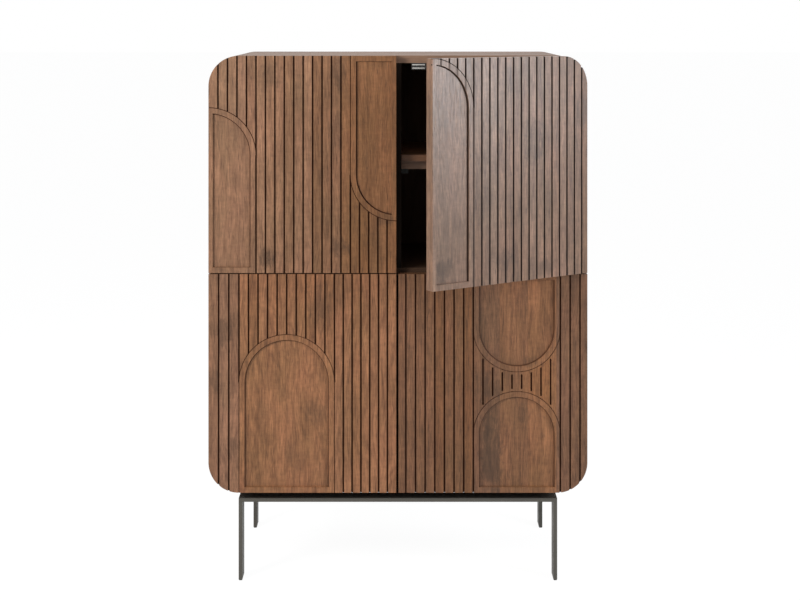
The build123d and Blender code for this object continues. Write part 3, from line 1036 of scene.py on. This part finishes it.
@dataclass(frozen=True)
class Carcass:
    """The shell, shelves, catches and the hinge pieces fixed to it.

    Attributes:
        cabinet: Sizes of the cabinet.
        top: Finish of the top panel.
        corners: Finish of the round corners.
        sides: Finish of the side panels.
        shelves: Finish of the shelves.
        rails: Finish of the rails under the shelves.
        base: Finish of the bottom panel.
        middle: Finish of the middle panel.
        dividers: Finish of the dividers.
        back: Finish of the back panel.
        blocks: Finish of the shelf supports.
        rounding: Rounding of the boards' edges.
        plate_back: Distance of the mounting plates behind the carcass front.
        plate: Thickness of a mounting plate.
        plate_screws: Distance of the plate's screws above and below a hinge.
        plate_head: Head of the plate's screws.
        arm: Distance of a hinge arm's face from the side panel, less the plate.
        adjusters: Distances of the arm's two screws from the middle of the plate.
        adjuster_head: Head of the arm's screws.
        catch_screws: Distance of a catch's screws from its middle.
        catch_back: Distance of the catches behind the carcass front.
        catch_levels: Heights of the catches' undersides.
        catch_head: Head of the catches' screws.
        side_screws: X and heights of the back panel's upright screw rows.
        level_screws: X and heights of its level screw rows.
        back_head: Head of the back panel's screws.
    """

    cabinet: Cabinet
    top: BoardWood
    corners: BoardWood
    sides: BoardWood
    shelves: BoardWood
    rails: BoardWood
    base: BoardWood
    middle: BoardWood
    dividers: BoardWood
    back: BoardWood
    blocks: CoatFinish
    rounding: float = 0.4 * MM
    plate_back: float = 0.055
    plate: float = 3 * MM
    plate_screws: float = 16 * MM
    plate_head: ScrewHead = ScrewHead(4.0 * MM, 1.4 * MM)
    arm: float = 13.63 * MM
    adjusters: tuple[float, float] = (-17 * MM, 15 * MM)
    adjuster_head: ScrewHead = ScrewHead(3.2 * MM, 0.8 * MM)
    catch_screws: float = 13 * MM
    catch_back: float = 8.5 * MM
    catch_levels: tuple[float, float] = (0.7892, 1.354)
    catch_head: ScrewHead = ScrewHead(2.4 * MM, 0.6 * MM)
    side_screws: tuple[tuple[float, ...], tuple[float, ...]] = (
        (-0.472, 0.0, 0.472),
        (0.36, 0.55, 0.70, 0.93, 1.09, 1.27),
    )
    level_screws: tuple[tuple[float, ...], tuple[float, ...]] = (
        (-0.33, -0.165, 0.165, 0.33),
        (0.267, 0.8172, 1.364),
    )
    back_head: ScrewHead = ScrewHead(3.4 * MM, 0.5 * MM)

    def build(self, nodes: Nodes, metal: bpy.types.Material, plastic: bpy.types.Material) -> None:
        """Finish the carcass's solids and add its fasteners.

        Args:
            nodes: CAD nodes by name.
            metal: Finish of the fittings.
            plastic: Finish of the catch housings.
        """
        groups = {
            self.top.build(): ("top_panel",),
            self.corners.build(): ("corner_",),
            self.sides.build(): ("side_panel_",),
            self.shelves.build(): ("shelf_upper", "shelf_lower"),
            self.rails.build(): ("shelf_rail",),
            self.base.build(): ("bottom_panel",),
            self.middle.build(): ("middle_panel",),
            self.dividers.build(): ("divider_",),
            self.back.build(): ("back_panel",),
            self.blocks.build(): ("shelf_supports",),
            plastic: ("magnetic_catch_housings",),
        }
        for material, starts in groups.items():
            for name in nodes:
                if name.startswith(starts):
                    dress(nodes[name], material, self.rounding)
        for name in ("hinge_arms", "hinge_arm_pins", "hinge_mounting_plates", "catch_pole_plates"):
            dress(nodes[name], metal, self.cabinet.fitting_edge)
        new_piece("hinge_screws", self.hinge_screws(), "carcass", metal)
        new_piece("catch_screws", self.screws_under_catches(), "carcass", metal)
        new_piece("back_screws", self.back_screws(), "carcass", metal)

    def hinge_screws(self) -> bmesh.types.BMesh:
        """Drive screws through the mounting plates, and the adjusting screws of the arms.

        Returns:
            The screw heads.
        """
        mesh = bmesh.new()
        middle = self.cabinet.carcass_front + self.plate_back
        wall = self.cabinet.inner_half - self.plate
        for side in Side:
            inward = Vector((-side.value, 0, 0))
            for level in self.cabinet.lower_hinges + self.cabinet.upper_hinges:
                for rise in (-self.plate_screws, self.plate_screws):
                    spot = Vector((side.value * wall, middle, level + rise))
                    self.plate_head.add(mesh, facing(spot, inward))
                for back in self.adjusters:
                    spot = Vector((side.value * (wall - self.arm), middle + back, level))
                    self.adjuster_head.add(mesh, facing(spot, inward))
        return mesh

    def screws_under_catches(self) -> bmesh.types.BMesh:
        """Drive the screws that hold the magnetic catches to the boards above them.

        Returns:
            The screw heads.
        """
        mesh = bmesh.new()
        back = self.cabinet.carcass_front + self.catch_back
        for level in self.catch_levels:
            for side in Side:
                for aside in (-self.catch_screws, self.catch_screws):
                    spot = Vector((side.value * self.cabinet.catch + aside, back, level))
                    self.catch_head.add(mesh, facing(spot, OUTWARD_DOWN))
        return mesh

    def back_screws(self) -> bmesh.types.BMesh:
        """Drive the screws along the edges of the back panel.

        Returns:
            The screw heads.
        """
        mesh = bmesh.new()
        for places, levels in (self.side_screws, self.level_screws):
            for place in places:
                for level in levels:
                    spot = Vector((place, self.cabinet.rear, level))
                    self.back_head.add(mesh, facing(spot, OUTWARD_BACK))
        return mesh


@dataclass(frozen=True)
class LegFrame:
    """Welded flat-bar frame with its standoffs, bolts and glides.

    Attributes:
        cabinet: Sizes of the cabinet.
        inset: Distance of the frame behind the doors' faces.
        length: Depth of the frame.
        bar: Width of the flat bars.
        under: Height of the rails' undersides.
        leg_face: Distance of the legs' inner faces from the middle.
        rounding: Rounding of the bars' edges.
        glide_rounding: Rounding of the glides' edges.
        clear: Distance of a bead's ends from the edges of the bars.
        bead: Middle radius of a weld bead.
        ripple: Length of one ripple of a bead.
        ripple_rings: Rings of points in one ripple.
        around: Points round a bead.
        ends: Share of its radius that a bead has at its ends.
        swell: Share of its radius between the ripples' tops and feet, and how far
            they swell and shrink from it.
    """

    cabinet: Cabinet
    inset: float = 0.021
    length: float = 0.464
    bar: float = 0.050
    under: float = 0.208
    leg_face: float = 0.4125
    rounding: float = 0.6 * MM
    glide_rounding: float = 0.3 * MM
    clear: float = 2 * MM
    bead: float = 1.5 * MM
    ripple: float = 3.3 * MM
    ripple_rings: int = 3
    around: int = 8
    ends: float = 0.3
    swell: tuple[float, float] = (0.9, 0.14)

    def build(self, nodes: Nodes, coat: bpy.types.Material, glide: bpy.types.Material) -> None:
        """Finish the bars and add the weld beads.

        Args:
            nodes: CAD nodes by name.
            coat: Powder coat of the bars.
            glide: Plastic of the glides.
        """
        for name in nodes:
            if name.startswith(("frame_", "leg_front", "leg_rear")):
                dress(nodes[name], coat, self.rounding)
        dress(nodes["leg_glides"], glide, self.glide_rounding)
        new_piece("weld_beads", self.welds(), "carcass", coat)

    def welds(self) -> bmesh.types.BMesh:
        """Lay weld beads in the inner corners between the bars.

        Returns:
            The beads.
        """
        mesh = bmesh.new()
        front = self.cabinet.front + self.inset
        rear = front + self.length
        half = self.bar / 2 - self.clear
        for side in Side:
            for start in (front, rear - self.bar):
                stops = (start + self.clear, start + self.bar - self.clear)
                ends = (Vector((side.value * self.leg_face, y, self.under)) for y in stops)
                self.add_bead(mesh, *ends)
        outer = self.leg_face - half - self.clear
        for y in (front + self.bar, rear - self.bar):
            for middle in (-outer, 0.0, outer):
                ends = (Vector((x, y, self.under)) for x in (middle - half, middle + half))
                self.add_bead(mesh, *ends)
        return mesh

    def add_bead(self, mesh: bmesh.types.BMesh, start: Vector, stop: Vector) -> None:
        """Add a rippled weld bead.

        Args:
            mesh: Mesh to add to.
            start: First end.
            stop: Other end.
        """
        along = stop - start
        turn = along.to_track_quat("Z", "Y").to_matrix()
        steps = round(self.ripple_rings * along.length / self.ripple)
        angles = [math.tau * k / self.around for k in range(self.around)]
        circle = [(math.cos(angle), math.sin(angle)) for angle in angles]
        middle, more = self.swell
        rings = []
        for step in range(steps + 1):
            rippled = middle + more * math.sin(math.tau * step / self.ripple_rings)
            swell = self.bead * (self.ends if step in (0, steps) else rippled)
            at = start + along * (step / steps)
            rings.append([at + turn @ Vector((swell * x, swell * y, 0)) for x, y in circle])
        add_loft(mesh, rings)


@dataclass(frozen=True)
class Lamp:
    """One square soft lamp.

    Attributes:
        name: Name of the lamp.
        place: Where it stands.
        target: What it points at.
        size: Side of the square.
        power: Power in watts.
        colour: Colour of its light.
    """

    name: str
    place: Triple
    target: Triple
    size: float
    power: float
    colour: Colour

    def build(self) -> None:
        """Add the lamp."""
        data = bpy.data.lights.new(self.name, "AREA")
        data.shape = "SQUARE"
        data.size = self.size
        data.energy = self.power
        data.color = self.colour
        lamp = linked(self.name, data)
        lamp.location = self.place
        aim = Vector(self.target) - Vector(self.place)
        lamp.rotation_euler = aim.to_track_quat("-Z", "Y").to_euler()


@dataclass(frozen=True)
class Studio:
    """Pale floor, white surroundings, soft lamps and the camera.

    Attributes:
        lamps: The lamps.
        soft: Strength of the light from all round.
        sky: Colour of the light from all round.
        white: Colour of the background and of the floor's glow.
        floor_side: Side of the floor.
        floor_grey: Grey of the floor in the light.
        glow: Strength of the white that the floor shows.
        shadow: How much of the floor's own shading it shows.
        eye: Where the camera stands.
        lens: Focal length in millimetres.
        sensor: Width of the camera's sensor in millimetres.
        shift: Sideways and upward shift of the picture.
    """

    lamps: tuple[Lamp, ...]
    soft: float
    sky: Colour = (0.95, 0.97, 1.0)
    white: Colour = (1.0, 1.0, 1.0)
    floor_side: float = 120.0
    floor_grey: float = 0.80
    glow: float = 1.082
    shadow: float = 0.12
    eye: Triple = (0.0, -4.108317, 1.4947)
    lens: float = 68.22
    sensor: float = 36.0
    shift: tuple[float, float] = (0.0026, -0.35393)

    def build(self) -> None:
        """Make the floor, the surroundings, the lamps and the camera."""
        self.floor()
        self.surroundings()
        for lamp in self.lamps:
            lamp.build()
            log.info("lamp %s: %.0f watts", lamp.name, lamp.power)
        self.camera()
        bpy.context.scene.view_settings.view_transform = "Standard"

    def floor(self) -> None:
        """Lay a white floor that keeps only a faint shadow."""
        mesh = bmesh.new()
        bmesh.ops.create_grid(mesh, x_segments=1, y_segments=1, size=self.floor_side / 2)
        g, material = Graph.of_material("floor_white")
        matt = g.add("ShaderNodeBsdfDiffuse", {"Color": (self.floor_grey,) * 3}).outputs[0]
        glow = g.add("ShaderNodeEmission", {"Color": self.white, "Strength": self.glow}).outputs[0]
        shaded = g.add("ShaderNodeMixShader", {0: self.shadow, 1: glow, 2: matt}).outputs[0]
        pick = g.add("ShaderNodeMixShader", {0: g.background_seen(), 1: matt, 2: shaded}).outputs[0]
        g.add("ShaderNodeOutputMaterial", {"Surface": pick})
        meshed("floor", mesh, material)
        log.info("floor %s: %.0f metres square", material.name, self.floor_side)

    def surroundings(self) -> None:
        """Set a white background with a softer light from all round."""
        world = bpy.data.worlds.new("studio")
        bpy.context.scene.world = world
        world.use_nodes = True
        g = Graph(world.node_tree)
        lights = ((self.sky, self.soft), (self.white, 1.0))
        soft, white = (
            g.add("ShaderNodeBackground", {"Color": colour, "Strength": strength}).outputs[0]
            for colour, strength in lights
        )
        pick = g.add("ShaderNodeMixShader", {0: g.background_seen(), 1: soft, 2: white}).outputs[0]
        g.add("ShaderNodeOutputWorld", {"Surface": pick})

    def camera(self) -> None:
        """Stand the camera straight ahead, at the height of the top, shifted down."""
        data = bpy.data.cameras.new("camera")
        data.sensor_width = self.sensor
        data.lens = self.lens
        data.shift_x, data.shift_y = self.shift
        camera = linked("camera", data)
        camera.location = self.eye
        camera.rotation_euler = (math.pi / 2, 0.0, 0.0)
        bpy.context.scene.camera = camera


# ---- make ----------------------------------------------------------------------


def door_woods(cabinet: Cabinet) -> dict[str, DoorWood]:
    """Choose the finishes of the doors, each with its own boards and carving.

    Args:
        cabinet: Sizes of the cabinet.

    Returns:
        The finishes by the doors' names.
    """
    edge, last_slat, left_stile, right_stile = 0.500, 0.4805, -0.0045, 0.0015
    side_arch, hanging_arch, twin_arch, twins = 0.1255, 0.121, 0.11475, 0.31375
    closed = (0.0, cabinet.front)
    return {
        "upper_left": DoorWood(
            "wood_upper_left", light=srgb(157, 116, 86), dark=srgb(98, 67, 46),
            carving=Carving(
                (-edge, -edge + side_arch, left_stile - hanging_arch, left_stile), (5, 10, 5),
                (
                    Arch(-edge, side_arch, 1.1295),
                    Arch(left_stile, hanging_arch, 1.0775, hangs=True),
                ),
            # The boards towards the left are greyer as a painted sheen of the key lamp.
            ),
            boards=(
                (0.50, 0.6), (0.45, 0.6), (0.66, 0.6), (0.58, 0.55),
                (0.38, 0.45), (0.36, 0.2), (0.36, 0.2),
            ),
            knots=(
                Knot(-0.342, 0.860, 0.020, 0.025, 0.7), Knot(-0.157, 0.885, 0.025, 0.025, 0.55),
                Knot(-0.155, 1.344, 0.020, 0.040, 0.45), Knot(-0.165, 1.190, 0.020, 0.050, 0.4),
                Knot(-0.337, 1.340, 0.025, 0.035, 0.35), Knot(-0.032, 0.960, 0.022, 0.015, 0.35),
            ),
            first=-0.525, corner=closed, seed=3.1,
        ),
        "upper_right": DoorWood(
            # A greyer wood than on the closed doors, partly a painted sheen of the side lamp.
            "wood_upper_right", light=srgb(150, 117, 95), dark=srgb(88, 64, 50),
            carving=Carving(
                (right_stile, right_stile + side_arch, last_slat, edge), (5, 14, 1),
                # The painted shade spreads further out of the grooves of the turned door.
                (Arch(right_stile, side_arch, 1.2665),), groove=0.118, shade_spread=0.0025,
            ),
            # The boards grow darker and less grey from the free edge to the hinge: a painted sheen
            # of the side lamp.
            boards=(
                (0.62, 0.5), (0.62, 0.5), (0.55, 0.4), (0.6, 0.4),
                (0.45, 0.3), (0.45, 0.2), (0.32, 0.2),
            ),
            knots=(
                Knot(0.043, 0.867, 0.030, 0.025, 0.55), Knot(0.323, 1.170, 0.030, 0.060, 0.45),
                Knot(0.222, 0.876, 0.030, 0.030, 0.5), Knot(0.237, 1.340, 0.020, 0.030, 0.3),
                Knot(0.480, 1.250, 0.020, 0.040, 0.4), Knot(0.360, 0.850, 0.030, 0.020, 0.4),
            ),
            first=-0.019, corner=(0.0843521, -0.3825154),
            # A darker colour for the painted shade in the grooves, against the side lamp's light.
            turn=33.7, seed=11.4, apart=0.3, gloss=0.48, sheen=0.35, stain=srgb(30, 14, 7),
        ),
        "lower_left": DoorWood(
            "wood_lower_left", light=srgb(162, 114, 80), dark=srgb(100, 66, 44),
            carving=Carving(
                (-edge, -edge + 0.0805, -edge + 0.3325, left_stile), (3, 10, 7),
                # Weaker painted shade on the lines and walls of this door.
                (Arch(-0.2935, 0.126, 0.5305),), line_and_wall_shade=0.75,
            ),
            boards=((0.24, 0.7), (0.45, 0.45), (0.47, 0.45), (0.43, 0.45), (0.42, 0.45)),
            knots=(
                Knot(-0.463, 0.660, 0.020, 0.035, 0.5), Knot(-0.485, 0.540, 0.015, 0.040, 0.4),
                Knot(-0.437, 0.360, 0.020, 0.030, 0.4), Knot(-0.213, 0.450, 0.030, 0.030, 0.3),
                Knot(-0.207, 0.740, 0.035, 0.060, 0.4), Knot(-0.280, 0.345, 0.020, 0.040, 0.25),
            ),
            board=0.124, first=-0.5435, corner=closed, seed=23.7, apart=0.08, waves=0.28,
        ),
        "lower_right": DoorWood(
            "wood_lower_right", light=srgb(140, 97, 67), dark=srgb(82, 54, 36),
            carving=Carving(
                (right_stile, 0.021, 0.199, 0.4285, last_slat, edge), (1, 7, 9, 2, 1),
                (Arch(twins, twin_arch, 0.3915), Arch(twins, twin_arch, 0.6725, hangs=True)),
                # Weaker painted shade on the lines and walls of this door.
                line_and_wall_shade=0.6,
            ),
            boards=(
                (0.28, 0.45), (0.34, 0.45), (0.42, 0.4), (0.24, 0.55),
                (0.60, 0.4), (0.95, 0.35), (0.36, 0.6), (0.34, 0.65),
            ),
            knots=(
                Knot(0.246, 0.330, 0.028, 0.100, 0.6), Knot(0.236, 0.517, 0.035, 0.040, 0.5),
                Knot(0.347, 0.585, 0.020, 0.015, 0.35), Knot(0.333, 0.450, 0.015, 0.030, 0.35),
            ),
            first=-0.029, corner=closed, seed=37.9,
        ),
    }


def main() -> None:
    """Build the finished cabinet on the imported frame."""
    logging.basicConfig(level=logging.INFO, format="%(name)s: %(message)s")
    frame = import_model()
    nodes = frame["nodes"]
    cabinet = Cabinet()
    nickel = MetalFinish("nickel_plate", srgb(205, 203, 198)).build()
    moulded = {"peel": 1400.0, "depth": 0.08 * MM}
    plastic = CoatFinish("moulded_black", srgb(34, 33, 32), roughness=0.55, **moulded).build()
    coat = CoatFinish("powder_coat", srgb(78, 75, 69), roughness=0.55).build()
    glide = CoatFinish("glide_plastic", srgb(48, 47, 45), **moulded).build()
    rows = {
        "upper": (cabinet.upper_hinges, cabinet.upper_strike),
        "lower": (cabinet.lower_hinges, cabinet.lower_strike),
    }
    for name, wood in door_woods(cabinet).items():
        row, side = name.split("_")
        CarvedDoor(name, Side[side.upper()], *rows[row], wood, cabinet).build(nodes, nickel)
    shell = srgb(150, 118, 96), srgb(98, 72, 55)
    inner = srgb(112, 74, 46), srgb(72, 46, 28)
    # Darker inside boards, partly painted shade of the dim interior.
    dark = srgb(78, 55, 39), srgb(50, 35, 24)
    # Near-black boards paint the shade under the doors and on the dividers behind them.
    shade_black = srgb(36, 25, 17), srgb(22, 15, 10)
    Carcass(
        cabinet,
        top=BoardWood("top_wood", *shell, Run.ACROSS, seed=1.7, sheen=0.55, gloss=0.36),
        corners=BoardWood("corner_wood", *shell, Run.BACK, seed=8.2, sheen=0.55, gloss=0.36),
        sides=BoardWood("side_wood", *shell, Run.UPRIGHT, seed=4.1),
        shelves=BoardWood("shelf_wood", *inner, Run.ACROSS, seed=7.9),
        # The rails take the lighter shell wood, a painted light that lifts them out of the shade
        # under the shelves.
        rails=BoardWood("rail_wood", *shell, Run.ACROSS, seed=3.3),
        base=BoardWood("base_wood", *shade_black, Run.ACROSS, seed=5.2, sheen=0.8, gloss=0.05),
        middle=BoardWood("middle_wood", *dark, Run.ACROSS, seed=2.6, sheen=0.65, gloss=0.2),
        dividers=BoardWood("divider_wood", *shade_black, Run.UPRIGHT, seed=9.3, sheen=0.8, gloss=0.12),
        back=BoardWood("back_wood", *dark, Run.UPRIGHT, seed=6.4, sheen=0.65, gloss=0.2),
        blocks=CoatFinish("block_stain", srgb(40, 40, 38), roughness=0.6),
    ).build(nodes, nickel, plastic)
    LegFrame(cabinet).build(nodes, coat, glide)
    Studio(
        (
            Lamp(
                "key_left", place=(-2.0, -1.9, 1.9), target=(-0.3, -0.1, 0.85),
                size=0.8, power=66.0, colour=(1.0, 0.96, 0.90),
            ),
            Lamp(
                "side_right", place=(2.55, -1.55, 1.6), target=(0.2, -0.2, 1.1),
                size=1.2, power=60.0, colour=(0.86, 0.93, 1.0),
            ),
            Lamp(
                "top_soft", place=(0.0, 1.2, 3.4), target=(0.0, 0.1, 1.3),
                size=2.4, power=24.0, colour=(1.0, 1.0, 1.0),
            ),
        ),
        soft=0.38,
    ).build()


if __name__ == "__main__":
    main()
